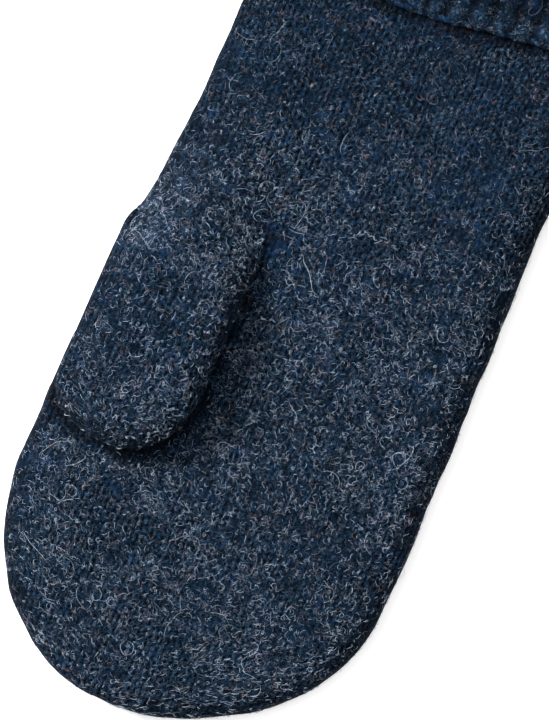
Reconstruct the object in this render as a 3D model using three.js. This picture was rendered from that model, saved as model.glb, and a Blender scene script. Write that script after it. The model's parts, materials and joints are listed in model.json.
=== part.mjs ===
// Right-hand mitten of thick fulled wool with a turned-up ribbed cuff. It lies on its back, palm up.
// Millimetres. +X is to the right, +Y runs from the fingertip to the wrist, +Z is up.
// The hand is a palm panel and a back panel linked along their edges. The thumb is two smaller panels
// picked up round a slot in the palm. The cuff is an inner rib and the same rib turned up outside it.
import * as THREE from 'three';

// Driving dimensions. A station is a distance from the fingertip, along the mitten.
// GAP is the room between pieces that are linked, and TOUCH the least room between pieces that rest together.
const LENGTH = 268;
const GAP = 0.3;
const TOUCH = 0.1;
const WALL = 2.5;

// Plan of the hand: the straight sides, the fingertip's curve, and the narrower wrist.
const PALM_SIDE = { left: -52.85, right: 52.85 };
const WRIST_SIDE = { left: -47, right: 50.9 };
const CUFF_SIDE = { left: -45.7, right: 49.6 };
const TIP = { x: -7.9, length: 51, fullness: 1.9, blunt: 0.12 };
const WRIST_TAPER = [84, 162];
const CUFF_TAPER = [180, 200];
const HAND_END = 209;

// Thickness of the hand: half the height at its middle, and how far in from the edge it rounds over.
const HAND_HALF = 6.8;
const CUFF_HALF = 5.6;
const EDGE_ROUND = 13;
const REST_RISE = [150, 198];

// Turned-up cuff, measured outwards from the inner rib's outer face.
const INNER_CUFF_START = 211;
const INNER_CUFF_END = 262;
const TURN_UP_START = 203;
const TURN_UP_INSIDE = 0.4;
const TURN_UP_OUTSIDE = 3.2;
const CUFF_MIDDLE = CUFF_HALF + TURN_UP_OUTSIDE;
const RIBS_PER_SIDE = 17;
const RIB_RELIEF = 0.5;
const EDGE_ROLL = { station: 201.2, offset: 1.7, radius: 1.3, askew: 1 };
const EDGE_ASKEW = { rise: 5.9, from: -12, to: 40 };
const FOLD = { start: LENGTH - 4, shoulder: LENGTH - 1 };

// Thumb: its plan, how it lies on the palm, and the slot that it is picked up from.
const THUMB_SIDE = { left: -52.1, right: -14.7 };
const THUMB_BASE_SIDE = { left: -48.6, right: -15.6 };
const THUMB_TIP = { x: -33, station: 64, length: { left: 13, right: 22 }, fullness: 2.1, blunt: 0.12 };
const THUMB_HALF = 5.5;
const THUMB_ROUND = 11;
const THUMB_LIE = 2 * HAND_HALF + GAP + TOUCH;
const THUMB_TILT = Math.tan(THREE.MathUtils.degToRad(4));
const THUMB_BASE_TAPER = [119, 131];
const SLOT = { start: 121, end: 131.3 };
const HINGE_HEIGHT = 19;
const THUMB_SLOPE = [112, 130.7];
const THUMB_PARTING_SLOPE = [100, 120];
const GUSSET_RISE = HINGE_HEIGHT - 2 * HAND_HALF;
const GUSSET_START = 162;

// The edge seams lie inside, clear of the walls. The other seams lie between the pieces that they join.
const SEAM_RADIUS = 0.65;
const SEAM_INSET = WALL + GAP + SEAM_RADIUS;
const JOINING_SEAM = { station: (HAND_END + INNER_CUFF_START) / 2, offset: -WALL / 2, radius: SEAM_RADIUS };
const LABEL = { width: 28, length: 22, thickness: 0.9, station: 224 };

// Points round half of a ring, points round the thumb's slot, and sections along a long and a short tube.
const RING_STEPS = 33;
const SLOT_STEPS = 32;
const LONG_TUBE_STEPS = 56;
const SHORT_TUBE_STEPS = 40;

const NAVY = 0x26344a;
const SEAM_NAVY = 0x1d2838;
const LABEL_WHITE = 0xe6e2d8;

const toY = (station) => station - LENGTH / 2;

function smooth([start, end], value) {
  return THREE.MathUtils.smoothstep(value, start, end);
}

// ---------------------------------------------------------------- plan of the hand

function handSide(side, station) {
  const wrist = THREE.MathUtils.lerp(PALM_SIDE[side], WRIST_SIDE[side], smooth(WRIST_TAPER, station));
  return THREE.MathUtils.lerp(wrist, CUFF_SIDE[side], smooth(CUFF_TAPER, station));
}

// Width of a superellipse, as a share of its half-axis, at a share of the way from its tip to full width.
function tipShare(share, fullness) {
  return (1 - Math.abs(1 - share) ** fullness) ** (1 / fullness);
}

// A point of the hand's outline, moved in by inset: x and station.
function handEdge(side, station, inset) {
  const inwards = side === 'left' ? 1 : -1;
  if (station >= TIP.length) return { x: handSide(side, station) + inwards * inset, station };
  const share = (station + TIP.blunt) / (TIP.length + TIP.blunt);
  const reach = (PALM_SIDE[side] - TIP.x + inwards * inset) * tipShare(share, TIP.fullness);
  return { x: TIP.x + reach, station: station + inset * (1 - station / TIP.length) };
}

function stationsTo(end, steps, length) {
  const tip = Array.from({ length: steps }, (_, k) => length * (1 - Math.cos((k / steps) * Math.PI / 2)));
  return [...tip, length, ...end];
}

const TIP_STEPS = 9;
const HAND_STATIONS = stationsTo(
  [68, 84, 97, 109, SLOT.start, SLOT.end, 138, 146, 154, 166, 180, 190, 200, HAND_END],
  TIP_STEPS,
  TIP.length,
);

// Outline as a line of points, for distances from the edge.
function outlineOf(edge, stations) {
  const points = (side) => stations.map((station) => edge(side, station, 0));
  return [...points('left').reverse(), ...points('right')].map((p) => new THREE.Vector2(p.x, p.station));
}

function distanceTo(outline, x, station) {
  const point = new THREE.Vector3(x, station, 0);
  const segment = new THREE.Line3();
  const nearest = new THREE.Vector3();
  let best = Infinity;
  for (let k = 1; k < outline.length; k += 1) {
    segment.start.set(outline[k - 1].x, outline[k - 1].y, 0);
    segment.end.set(outline[k].x, outline[k].y, 0);
    segment.closestPointToPoint(point, true, nearest);
    best = Math.min(best, nearest.distanceTo(point));
  }
  return best;
}

// How high the fabric stands at a distance from the edge: a quarter ellipse, then level.
function crown(distance, round) {
  const share = THREE.MathUtils.clamp(distance / round, 0, 1);
  return Math.sqrt(1 - (1 - share) ** 2);
}

// Columns across a row: close together where the edge rounds over, even in the middle.
const EDGE_COLUMNS = 5;
const MIDDLE_COLUMNS = 8;

function across(left, right, round) {
  const rounded = Math.min(round, (right - left) / 2 - 0.01);
  const turn = Array.from(
    { length: EDGE_COLUMNS },
    (_, k) => rounded * (1 - Math.cos((k / EDGE_COLUMNS) * Math.PI / 2)),
  );
  const middle = Array.from(
    { length: MIDDLE_COLUMNS + 1 },
    (_, k) => THREE.MathUtils.lerp(left + rounded, right - rounded, k / MIDDLE_COLUMNS),
  );
  return [...turn.map((d) => left + d), ...middle, ...turn.reverse().map((d) => right - d)];
}

// ---------------------------------------------------------------- solids from grids of points

function geometryFrom(points, index) {
  const geometry = new THREE.BufferGeometry();
  const numbers = points.flatMap((p) => [p.x, p.y, p.z]);
  geometry.setAttribute('position', new THREE.Float32BufferAttribute(numbers, 3));
  geometry.setIndex(index);
  geometry.computeVertexNormals();
  return geometry;
}

// A closed shell between two grids of points [row][column]. The outer grid's columns run anticlockwise
// from its rows as seen from outside. Cells that skip names are left out, and every free edge is closed.
function shell(outer, inner, skip = () => false) {
  const columns = outer[0].length;
  const count = outer.length * columns;
  const faces = [];
  for (let row = 0; row + 1 < outer.length; row += 1) {
    for (let column = 0; column + 1 < columns; column += 1) {
      if (skip(row, column)) continue;
      const a = row * columns + column;
      faces.push([a, a + 1, a + 1 + columns], [a, a + 1 + columns, a + columns]);
    }
  }
  const edges = new Map();
  for (const [a, b, c] of faces) {
    for (const [from, to] of [[a, b], [b, c], [c, a]]) edges.set(`${from} ${to}`, [from, to]);
  }
  const index = faces.flatMap(([a, b, c]) => [a, b, c, a + count, c + count, b + count]);
  for (const [from, to] of edges.values()) {
    if (edges.has(`${to} ${from}`)) continue;
    index.push(to, from, from + count, to, from + count, to + count);
  }
  return geometryFrom([...outer.flat(), ...inner.flat()], index);
}

// The grid as it is on the palm side, or reversed so that it faces down on the back.
const facing = (side, grid) => (side > 0 ? grid : grid.map((row) => [...row].reverse()));

function fabric(name, geometry, color = NAVY, roughness = 0.95) {
  const material = new THREE.MeshStandardMaterial({ color, roughness, metalness: 0 });
  const mesh = new THREE.Mesh(geometry, material);
  mesh.name = name;
  return mesh;
}

// ---------------------------------------------------------------- hand panels

const HAND_OUTLINE = outlineOf(handEdge, HAND_STATIONS);

const handMiddle = (station) => THREE.MathUtils.lerp(HAND_HALF, CUFF_MIDDLE, smooth(REST_RISE, station));
const handHalf = (station) => THREE.MathUtils.lerp(HAND_HALF, CUFF_HALF, smooth(REST_RISE, station));

// The palm rises towards the thumb's base, highest in the middle of the slot's wrist edge.
function gusset(x, station) {
  const middle = (THUMB_BASE_SIDE.left + THUMB_BASE_SIDE.right) / 2;
  const share = THREE.MathUtils.clamp((x - middle) / (THUMB_BASE_SIDE.right - middle), -1, 1);
  const along = station < SLOT.start ? 0 : 1 - smooth([SLOT.end, GUSSET_START], station);
  return GUSSET_RISE * along * (1 - share ** 2) ** 2;
}

function handGrid(side, inset) {
  return HAND_STATIONS.map((rowStation) => {
    const left = handEdge('left', rowStation, inset);
    const right = handEdge('right', rowStation, inset);
    const { station } = left;
    return across(left.x, right.x, EDGE_ROUND - inset).map((x) => {
      const distance = Math.max(0, distanceTo(HAND_OUTLINE, x, station) - inset);
      const onEdge = x === left.x || x === right.x || rowStation === 0;
      const height = onEdge ? 0 : (handHalf(station) - inset) * crown(distance, EDGE_ROUND - inset);
      const fromMiddle = GAP / 2 + height * (1 - GAP / 2 / HAND_HALF);
      const rise = side > 0 && !onEdge && station >= SLOT.end ? gusset(x, station) : 0;
      return new THREE.Vector3(x, toY(station), handMiddle(station) + side * fromMiddle + rise);
    });
  });
}

// The slot is one cell long, from its row to the next, and runs between two columns.
const SLOT_ROW = HAND_STATIONS.indexOf(SLOT.start);
const SLOT_COLUMNS = [2, EDGE_COLUMNS + 2];

function palmPanel() {
  const inSlot = (row, column) => row === SLOT_ROW && column >= SLOT_COLUMNS[0] && column < SLOT_COLUMNS[1];
  return fabric('palm_panel', shell(handGrid(1, 0), handGrid(1, WALL), inSlot));
}

// The room across the slot at its narrowest.
function slotWidth() {
  const rows = handGrid(1, WALL).slice(SLOT_ROW, SLOT_ROW + 2);
  const left = Math.max(...rows.map((row) => row[SLOT_COLUMNS[0]].x));
  const right = Math.min(...rows.map((row) => row[SLOT_COLUMNS[1]].x));
  return { left, right };
}

function backPanel() {
  return fabric('back_panel', shell(facing(-1, handGrid(-1, 0)), facing(-1, handGrid(-1, WALL))));
}

// ---------------------------------------------------------------- thumb

const THUMB_STATIONS = [
  ...stationsTo([], 6, THUMB_TIP.length.right).map((d) => THUMB_TIP.station + d),
  93, 100, 107, 112, 116, SLOT.start - 2 * GAP,
];
const THUMB_BASE_STATIONS = [121, 124, 127, 129, 130.7];

function thumbEdge(side, station, inset) {
  const inwards = side === 'left' ? 1 : -1;
  const tipLength = THUMB_TIP.length[side];
  const past = station - THUMB_TIP.station;
  const eased = inset * Math.max(0, 1 - past / THUMB_TIP.length.right);
  if (past < tipLength) {
    const share = (past + THUMB_TIP.blunt) / (tipLength + THUMB_TIP.blunt);
    const reach = (THUMB_SIDE[side] - THUMB_TIP.x + inwards * inset) * tipShare(share, THUMB_TIP.fullness);
    return { x: THUMB_TIP.x + reach, station: station + eased };
  }
  const taper = smooth(THUMB_BASE_TAPER, station);
  const edge = THREE.MathUtils.lerp(THUMB_SIDE[side], THUMB_BASE_SIDE[side], taper);
  return { x: edge + inwards * inset, station: station + eased };
}

const THUMB_OUTLINE = outlineOf(thumbEdge, [...THUMB_STATIONS, ...THUMB_BASE_STATIONS]);

// Height of the line where the thumb's two panels meet. It comes down towards the slot.
function thumbMiddle(x, station) {
  const lying = THUMB_LIE + THUMB_HALF + THUMB_TILT * (x - THUMB_TIP.x);
  const atSlot = THUMB_LIE + WALL + GAP + TOUCH;
  return THREE.MathUtils.lerp(lying, atSlot, smooth(THUMB_PARTING_SLOPE, station));
}

// Height of the outer face over the slot, where the thumb's top panel meets the palm.
const hingeFace = (x) => 2 * HAND_HALF + GAP + gusset(x, SLOT.end);

function thumbTop(x, station, inset) {
  const distance = Math.max(0, distanceTo(THUMB_OUTLINE, x, station) - inset);
  const foot = station >= SLOT.start ? 2 * HAND_HALF + 2 * GAP : thumbMiddle(x, station) + GAP / 2;
  const ridge = THUMB_LIE + 2 * THUMB_HALF + THUMB_TILT * (x - THUMB_TIP.x);
  const down = Math.max(0, (THUMB_SLOPE[1] - station) / (THUMB_SLOPE[1] - THUMB_SLOPE[0]));
  const roof = THREE.MathUtils.lerp(hingeFace(x) + TOUCH, ridge, Math.sin(Math.min(1, down) * Math.PI / 2));
  return foot + Math.max(0, roof - inset - foot) * crown(distance, THUMB_ROUND - inset);
}

function thumbUnder(x, station, inset) {
  const distance = Math.max(0, distanceTo(THUMB_OUTLINE, x, station) - inset);
  const rim = thumbMiddle(x, station) - GAP / 2;
  const sole = THUMB_LIE + THUMB_TILT * Math.max(0, x - THUMB_TIP.x);
  return rim - Math.max(0, rim - sole - inset) * crown(distance, THUMB_ROUND - inset);
}

// An inset this large puts a point on the line where the panels meet.
const ON_RIM = 100;

function thumbGrid(stations, heightAt, inset) {
  return stations.map((rowStation) => {
    const left = thumbEdge('left', rowStation, inset);
    const right = thumbEdge('right', rowStation, inset);
    const onTip = rowStation === THUMB_TIP.station;
    return across(left.x, right.x, THUMB_ROUND - inset).map((x) => {
      const rim = onTip || x === left.x || x === right.x;
      return new THREE.Vector3(x, toY(left.station), heightAt(x, left.station, rim ? ON_RIM : inset));
    });
  });
}

function thumbTopPanel() {
  const stations = [...THUMB_STATIONS, ...THUMB_BASE_STATIONS];
  const grid = (inset) => thumbGrid(stations, thumbTop, inset);
  return fabric('thumb_top_panel', shell(grid(0), grid(WALL)));
}

function thumbUnderPanel() {
  const grid = (inset) => facing(-1, thumbGrid(THUMB_STATIONS, thumbUnder, inset));
  return fabric('thumb_under_panel', shell(grid(0), grid(WALL)));
}

// ---------------------------------------------------------------- cuff

// Half of the cuff's cross-section in X and Z, from its left edge over the top to its right edge.
function cuffSection() {
  const { left, right } = CUFF_SIDE;
  const section = new THREE.CurvePath();
  const leftTurn = [left + EDGE_ROUND, 0, EDGE_ROUND, CUFF_HALF, Math.PI, Math.PI / 2, true];
  const rightTurn = [right - EDGE_ROUND, 0, EDGE_ROUND, CUFF_HALF, Math.PI / 2, 0, true];
  section.add(new THREE.EllipseCurve(...leftTurn));
  section.add(new THREE.LineCurve(
    new THREE.Vector2(left + EDGE_ROUND, CUFF_HALF),
    new THREE.Vector2(right - EDGE_ROUND, CUFF_HALF),
  ));
  section.add(new THREE.EllipseCurve(...rightTurn));
  return section;
}

// The turned-up edge is folded a little askew, so it stands nearer the wrist on its right side.
const edgeRise = (x) => EDGE_ASKEW.rise * smooth([EDGE_ASKEW.from, EDGE_ASKEW.to], x);

// A point of the cuff, offset outwards from the inner rib's outer face. turn is 0 to 1 over one side, and
// askew is 1 on the turned-up edge.
function cuffPoint(section, side, turn, station, offset, askew = 0) {
  const point = section.getPointAt(turn);
  const tangent = section.getTangentAt(turn);
  const x = point.x - tangent.y * offset;
  const z = Math.max(0, point.y + tangent.x * offset);
  const y = toY(station + askew * edgeRise(x));
  return new THREE.Vector3(x, y, CUFF_MIDDLE + side * (z + GAP / 2 * (1 - z / CUFF_MIDDLE)));
}

// One side of a rib. Each row is [station, offset, askew]; the outer face has a ridge on every other column.
function ribSide(name, side, outerRows, innerRows, relief) {
  const section = cuffSection();
  const columns = 2 * RIBS_PER_SIDE;
  const row = ([station, offset, askew], ridge) => Array.from(
    { length: columns + 1 },
    (_, k) => cuffPoint(section, side, k / columns, station, offset - (k % 2 ? 0 : ridge), askew),
  );
  const grid = (rows, ridge) => rows.map((place) => row(place, ridge));
  return fabric(name, shell(facing(side, grid(outerRows, relief)), facing(side, grid(innerRows, 0))));
}

function innerCuff(name, side) {
  const outer = [[INNER_CUFF_START, 0], [INNER_CUFF_END, 0]];
  const inner = [[INNER_CUFF_START, -WALL], [INNER_CUFF_END, -WALL]];
  return ribSide(name, side, outer, inner, 0);
}

// The turned-up rib, with the fold that wraps the end of the inner rib.
function turnUp(name, side) {
  const fold = INNER_CUFF_END + GAP;
  const outer = [
    [TURN_UP_START, TURN_UP_OUTSIDE, 1],
    [FOLD.start, TURN_UP_OUTSIDE],
    [FOLD.shoulder, TURN_UP_OUTSIDE - 1],
    [LENGTH, TURN_UP_INSIDE],
  ];
  const inner = [
    [TURN_UP_START, TURN_UP_INSIDE, 1],
    [fold, TURN_UP_INSIDE],
    [fold, -WALL],
    [FOLD.shoulder, -WALL],
  ];
  return ribSide(name, side, outer, inner, RIB_RELIEF);
}

// A ring of round section that follows the cuff's cross-section all the way round.
function ring(name, { station, offset, radius, askew = 0 }, color) {
  const section = cuffSection();
  const turns = Array.from({ length: RING_STEPS }, (_, k) => k / RING_STEPS);
  const above = turns.map((turn) => cuffPoint(section, 1, turn, station, offset, askew));
  const below = turns.map((turn) => cuffPoint(section, -1, 1 - turn, station, offset, askew));
  const path = new THREE.CatmullRomCurve3([...above, ...below], true);
  return fabric(name, tube(path, radius, LONG_TUBE_STEPS), color);
}

// ---------------------------------------------------------------- seams and label

function tube(path, radius, steps, sides = 6) {
  const round = new THREE.Shape().absarc(0, 0, radius, 0, 2 * Math.PI);
  return new THREE.ExtrudeGeometry(round, {
    steps,
    extrudePath: path,
    curveSegments: sides / 2,
    bevelEnabled: false,
  });
}

function handEdgeSeam() {
  const stations = HAND_STATIONS.filter((station) => station > 0 && station < HAND_END);
  const points = (side) => stations.map((station) => {
    const edge = handEdge(side, station, SEAM_INSET);
    return new THREE.Vector3(edge.x, toY(edge.station), handMiddle(edge.station));
  });
  const path = new THREE.CatmullRomCurve3([...points('left').reverse(), ...points('right')]);
  return fabric('hand_edge_seam', tube(path, SEAM_RADIUS, LONG_TUBE_STEPS), SEAM_NAVY);
}

function thumbEdgeSeam() {
  const end = THUMB_PARTING_SLOPE[1] - 10;
  const stations = THUMB_STATIONS.filter((station) => station > THUMB_TIP.station && station < end);
  const radius = SEAM_RADIUS * 0.7;
  const points = (side) => stations.map((station) => {
    const edge = thumbEdge(side, station, SEAM_INSET);
    return new THREE.Vector3(edge.x, toY(edge.station), thumbMiddle(edge.x, edge.station) + radius);
  });
  const path = new THREE.CatmullRomCurve3([...points('left').reverse(), ...points('right')]);
  return fabric('thumb_edge_seam', tube(path, radius, SHORT_TUBE_STEPS), SEAM_NAVY);
}

// Picked-up row of stitches round the slot, under its rim.
function thumbBaseSeam() {
  const { left, right } = slotWidth();
  const half = { x: (right - left) / 2 + SEAM_RADIUS, y: (SLOT.end - SLOT.start) / 2 + SEAM_RADIUS };
  const middle = { x: (left + right) / 2, station: (SLOT.start + SLOT.end) / 2 };
  const squared = (value) => Math.sign(value) * Math.sqrt(Math.abs(value));
  const points = Array.from({ length: SLOT_STEPS }, (_, k) => {
    const angle = (k / SLOT_STEPS) * 2 * Math.PI;
    const x = middle.x + half.x * squared(Math.cos(angle));
    const station = middle.station + half.y * squared(Math.sin(angle));
    const room = distanceTo(HAND_OUTLINE, x, station) - SEAM_INSET;
    const height = (HAND_HALF - SEAM_INSET) * crown(room, EDGE_ROUND - SEAM_INSET) - GAP;
    return new THREE.Vector3(x, toY(station), HAND_HALF + height);
  });
  const path = new THREE.CatmullRomCurve3(points, true);
  return fabric('thumb_base_seam', tube(path, SEAM_RADIUS, SHORT_TUBE_STEPS), SEAM_NAVY);
}

function careLabel() {
  const geometry = new THREE.BoxGeometry(LABEL.width, LABEL.length, LABEL.thickness);
  const label = fabric('care_label', geometry, LABEL_WHITE, 0.6);
  const floor = CUFF_MIDDLE - CUFF_HALF + WALL + GAP;
  label.position.set(0, toY(LABEL.station), floor + LABEL.thickness / 2);
  return label;
}

// ---------------------------------------------------------------- assembly

const mitten = new THREE.Group();
mitten.name = 'mitten';

const hand = new THREE.Group();
hand.add(palmPanel(), backPanel(), handEdgeSeam(), thumbBaseSeam());
hand.add(innerCuff('cuff_palm_rib', 1), innerCuff('cuff_back_rib', -1), careLabel());
hand.add(ring('cuff_joining_seam', JOINING_SEAM, SEAM_NAVY));

const thumb = new THREE.Group();
thumb.add(thumbTopPanel(), thumbUnderPanel(), thumbEdgeSeam());

const cuff = new THREE.Group();
cuff.add(turnUp('turn_up_palm_rib', 1), turnUp('turn_up_back_rib', -1));
cuff.add(ring('cast_on_edge', EDGE_ROLL, NAVY));

mitten.add(hand, thumb, cuff);

export default mitten;
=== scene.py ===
"""Looks for the fulled wool mitten: knitted skins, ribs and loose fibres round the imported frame."""

import json
import math

import bpy
import numpy as np
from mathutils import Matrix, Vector


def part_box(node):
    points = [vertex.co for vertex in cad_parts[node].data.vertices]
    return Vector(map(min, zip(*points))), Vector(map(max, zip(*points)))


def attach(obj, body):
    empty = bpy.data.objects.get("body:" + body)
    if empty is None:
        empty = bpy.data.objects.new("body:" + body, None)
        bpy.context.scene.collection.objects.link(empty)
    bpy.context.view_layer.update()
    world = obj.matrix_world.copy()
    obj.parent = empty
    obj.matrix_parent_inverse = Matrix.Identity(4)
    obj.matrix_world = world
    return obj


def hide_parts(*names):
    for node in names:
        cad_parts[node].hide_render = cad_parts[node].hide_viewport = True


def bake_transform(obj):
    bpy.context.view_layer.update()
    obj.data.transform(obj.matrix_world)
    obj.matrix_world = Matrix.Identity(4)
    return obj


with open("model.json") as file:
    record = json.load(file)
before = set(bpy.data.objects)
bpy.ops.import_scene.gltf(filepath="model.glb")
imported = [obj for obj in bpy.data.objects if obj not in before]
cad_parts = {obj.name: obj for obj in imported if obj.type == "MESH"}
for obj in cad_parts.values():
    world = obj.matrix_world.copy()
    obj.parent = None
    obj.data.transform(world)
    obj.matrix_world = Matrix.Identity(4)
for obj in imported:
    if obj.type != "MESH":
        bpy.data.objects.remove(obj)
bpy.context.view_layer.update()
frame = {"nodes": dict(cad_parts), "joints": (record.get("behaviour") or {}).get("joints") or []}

MM = 0.001

# ---- sizes, in millimetres
# A station is a distance from the fingertip, along the mitten. A pair named SIDE holds the left and the
# right. A pair named for a change, such as TAPER or LANDING, holds the stations where it starts and ends.
# ASKEW_SPAN holds two places across the mitten.


def box_mm(node):
    low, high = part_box(node)
    return np.array(low) / MM, np.array(high) / MM


PALM_LOW, PALM_HIGH = box_mm("palm_panel")
CUFF_LOW, CUFF_HIGH = box_mm("cuff_palm_rib")
TURN_LOW, TURN_HIGH = box_mm("turn_up_palm_rib")
THUMB_LOW, THUMB_HIGH = box_mm("thumb_top_panel")
EDGE_LOW, EDGE_HIGH = box_mm("cast_on_edge")
HINGE = next(joint for joint in frame["joints"] if joint["type"] == "hinge")
HINGE_Z = HINGE["pos_m"][2] / MM

TIP_Y = PALM_LOW[1]
HAND_END = PALM_HIGH[1] - TIP_Y
WALL = 2.5
THUMB_WALL = WALL - 0.3
CUFF_WALL = WALL - 0.4
TURN_UP_WALL = 2.4

PALM_SIDE = (PALM_LOW[0], PALM_HIGH[0])
WRIST_SIDE = (-47.0, 50.9)
CUFF_SIDE = (CUFF_LOW[0], CUFF_HIGH[0])
WRIST_TAPER = (84, 162)
CUFF_TAPER = (180, 200)
TIP_X = -7.9
TIP_LENGTH = 51
TIP_FULLNESS = 1.9
TIP_BLUNT = 0.12

HAND_HALF = 6.8
CUFF_MIDDLE = CUFF_LOW[2]
CUFF_HALF = CUFF_HIGH[2] - CUFF_MIDDLE
EDGE_ROUND = 13
REST_RISE = (150, 198)
EDGE_RADIUS = 1.3
ASKEW_RISE = 5.9
ASKEW_SPAN = (-12, 40)

THUMB_SIDE = (THUMB_LOW[0], THUMB_HIGH[0])
THUMB_BASE_SIDE = (-48.6, -15.6)
THUMB_TIP_STATION = THUMB_LOW[1] - TIP_Y
THUMB_TIP_X = -33.0
THUMB_TIP_LENGTHS = (13, 22)
THUMB_FULLNESS = 2.1
THUMB_HALF = 5.5
THUMB_ROUND = 11
THUMB_CLEARANCE = 0.4
THUMB_LIE = 2 * HAND_HALF + THUMB_CLEARANCE
THUMB_TILT = math.tan(math.radians(4))
THUMB_BASE_TAPER = (119, 131)
THUMB_SLOPE_END = 112
THUMB_PARTING_SLOPE = (100, 120)
THUMB_LANDING = (111, 121)
THUMB_JOINING = (124, 131.3)
THUMB_OVERLAP = 2.5
THUMB_SINK = 0.4
THUMB_BEND = 9.5
THUMB_SWELL_START = 100
SLOT = (121, 131.3)
GUSSET_RISE = HINGE_Z - 2 * HAND_HALF
GUSSET_START = 162

# Knitting gauge: a wale is one column of stitches, a course is one row. A stitch's legs rise LEG_SLANT
# courses from its middle to its sides, and round over by LEG_ROUNDING across them and along them.
WALE = 3.1
COURSE = 2.1
LEG_SLANT = 0.75
LEG_ROUNDING = (0.86, 0.62)
STITCH_RELIEF = 0.48
RIBS_PER_SIDE = 17
RIB_SLANT = 1.1
RIB_ROUNDING = 0.6
RIB_RELIEF = 0.8
INNER_RIB_RELIEF = 0.5
HEM_RADIUS = 1.6
HEM_OVERHANG = 0.8
FOLD_RADIUS = 1.4
INNER_RIB_INSET = 0.6

# Layers of noise: the amount of each, its size, and what it adds to the seed.
EDGE_WAVE = ((0.35, 9, 2), (0.15, 4, 3))
SWELL = ((1, 34, 0), (0.5, 15, 1))
STITCH_SWAY_ACROSS = ((0.4, 7, 0), (0.42, 2.2, 1))
STITCH_SWAY_ALONG = ((0.5, 9, 2), (0.5, 2.6, 3))
STITCH_FULLING = ((0.4, 11, 4), (0.4, 4, 5))
STITCH_GRAIN = ((0.1, 1.1, 6), (0.06, 0.7, 7))
RIB_SWAY = ((0.7, 12, 0), (0.6, 3, 1))
RIB_FULLING = ((0.6, 9, 4),)
RIB_GRAIN = ((0.12, 1.1, 6), (0.1, 2.3, 7))
EDGE_ROLL_WAVE = ((0.5, 9, 0), (0.3, 3.5, 1))
FIBRE_PATCHES = ((0.45, 9, 0), (0.35, 4, 1))

# Seeds of the noise and of each piece's stitches. YARN_SEED is added to them for the yarn's colours.
SWELL_SEED = 64
PALM_SEED, BACK_SEED, THUMB_UNDER_SEED = 3, 13, 23
TURN_UP_SEED, INNER_RIB_SEED = 40, 50
EDGE_ROLL_SEED = 81
YARN_SEED = 20

# Where the knit is darker: a part of its tone, which it keeps or loses there, and the distances over which
# that comes on, from the cuff, a piece's edge, the cuff's lip and the thumb. All of it is painted shade: the
# turned-up cuff's shadow on the knit before its lip, the fabric turning away at an edge, the turned-up rib
# darker away from its lip so that the lip stands out as a painted highlight, and the crease beside the thumb.
CUFF_SHADE, CUFF_SHADE_BEFORE, CUFF_SHADE_BEHIND = 0.5, (7, 2), (-3, 0)
EDGE_SHADE, EDGE_SHADE_WIDTH = 0.72, (0, 7)
LIP_SHADE, LIP_WIDTH = 0.6, (3, 8)
VALLEY_SHADE, VALLEY_WIDTH = 0.45, (1.2, 4.8)

# Under the thumb the palm is pressed smooth, as deep as this, up to these stations.
PRESSED_DEPTH, PRESSED_END = 0.3, (124, 116)

# How well the knit holds loose fibres, from its deepest gap to its highest stitch and from yarn to yarn. The
# tone it is read from carries the painted shade, so fibres are also fewer where shade is painted.
HOLD_BY_TONE, HOLD_CONTRAST = (0.03, 1.7), 1.6
HOLD_BY_STRAND = (0.45, 1.6)

# How much smaller the palm's opening is than the thumb's slot, at each end and at its two sides.
SLOT_MARGIN_ALONG = 1
SLOT_MARGIN_SIDE = (4, 3)

# The rolled edge: how it sits on the turned-up rib, and how it is meshed.
ROLL_DROP = 0.3
ROLL_FORWARD = 0.8
ROLL_PLACES = 360
ROLL_SIDES = 16

STEP = 0.4  # spacing of the knitted skins' points
COARSE = 4  # an inner skin has one point for this many of its outer skin's
TIP_PLACES = 140  # points of an outline round its tip
SIDE_PLACES = 40  # points of an outline along each side
FINE_PLACES = 2000  # points of the line that a skin's rows are spaced along
CORNER_PLACES = 60  # points round each side of the cuff's cross-section
FLAT_PLACES = 120  # points across the flat of it
SLOPE_STEP = 0.05  # the distance over which a surface's slope is measured

# ---- arithmetic helpers


def smooth(span, value):
    share = np.clip((np.asarray(value, float) - span[0]) / (span[1] - span[0]), 0, 1)
    return share * share * (3 - 2 * share)


def mix(a, b, share):
    return a + (b - a) * share


def noise(x, y, size, seed):
    """Smooth value noise from -1 to 1, with features about size across."""
    table = np.random.RandomState(seed).uniform(-1, 1, (64, 64))
    x, y = np.asarray(x) / size + 1000, np.asarray(y) / size + 1000
    column, row = np.floor(x).astype(int), np.floor(y).astype(int)
    fx, fy = x - column, y - row
    fx, fy = fx * fx * (3 - 2 * fx), fy * fy * (3 - 2 * fy)

    def at(dx, dy):
        return table[(row + dy) % 64, (column + dx) % 64]

    return mix(mix(at(0, 0), at(1, 0), fx), mix(at(0, 1), at(1, 1), fx), fy)


def layers(x, y, seed, table, start=0):
    """Layers of noise, added one by one to a start."""
    return sum((amount * noise(x, y, size, seed + own) for amount, size, own in table), start)


def askew(x):
    """How much nearer the wrist the turned-up edge stands, as it is folded a little askew."""
    return ASKEW_RISE * smooth(ASKEW_SPAN, x)


def unit(vectors):
    return vectors / np.maximum(np.linalg.norm(vectors, axis=2, keepdims=True), 1e-9)


def length_along(x, y):
    """How far along a line through these points each of them is."""
    return np.concatenate([[0], np.cumsum(np.hypot(np.diff(x), np.diff(y)))])


def even_steps(places, heights, spacing):
    """Places evenly spaced along a line of those heights, and how far along the line each one is."""
    run = length_along(places, heights)
    count = COARSE * max(2, round(run[-1] / spacing / COARSE))
    even = np.linspace(0, run[-1], count + 1)
    return np.interp(even, run, places), even


# ---- soft surfaces


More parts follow.
